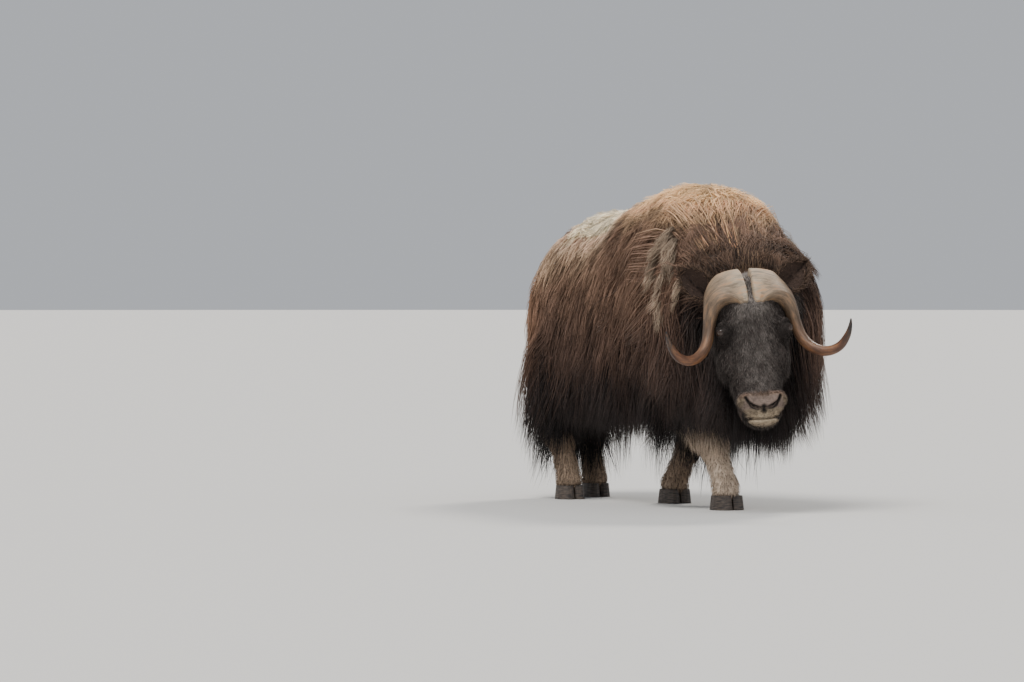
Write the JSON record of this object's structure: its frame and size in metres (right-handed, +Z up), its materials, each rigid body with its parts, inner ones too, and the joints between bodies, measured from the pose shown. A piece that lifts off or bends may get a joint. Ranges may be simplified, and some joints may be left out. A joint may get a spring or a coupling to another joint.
{
  "type": "muskox",
  "caption": "Bull muskox walking with its head low and turned to its right, in a long shaggy coat, with a broad horn boss and down-curved horns.",
  "frame": {"origin": "on the floor, under the middle of the outline seen from above", "axes": "+Z up, the animal faces -Y, its left side is towards +X"},
  "size_m": [0.9332, 2.151, 1.2886],
  "materials": {
    "coat_flank": "long coarse guard hair over dense wool, dark brown with tawny streaks",
    "coat_mane": "curly mane hair, tawny over dark brown",
    "face_hair": "short dense hair, blackish brown",
    "leg_hair": "short pale hair",
    "horn": "keratin, rough and pale at the boss, smooth and dark at the tips",
    "hoof": "dark keratin, worn",
    "eye": "wet dark eye"
  },
  "bodies": {
    "root": {"torso": "coat_flank", "neck": "coat_mane", "tail": "coat_flank", "head": "face_hair", "ear_left": "face_hair", "ear_right": "face_hair", "eye_left": "eye", "eye_right": "eye", "horn_left": "horn", "horn_right": "horn", "foreleg_left": "leg_hair", "foreleg_right": "leg_hair", "hindleg_left": "leg_hair", "hindleg_right": "leg_hair", "forehoof_left": "hoof", "forehoof_right": "hoof", "hindhoof_left": "hoof", "hindhoof_right": "hoof"}
  },
  "joints": []
}
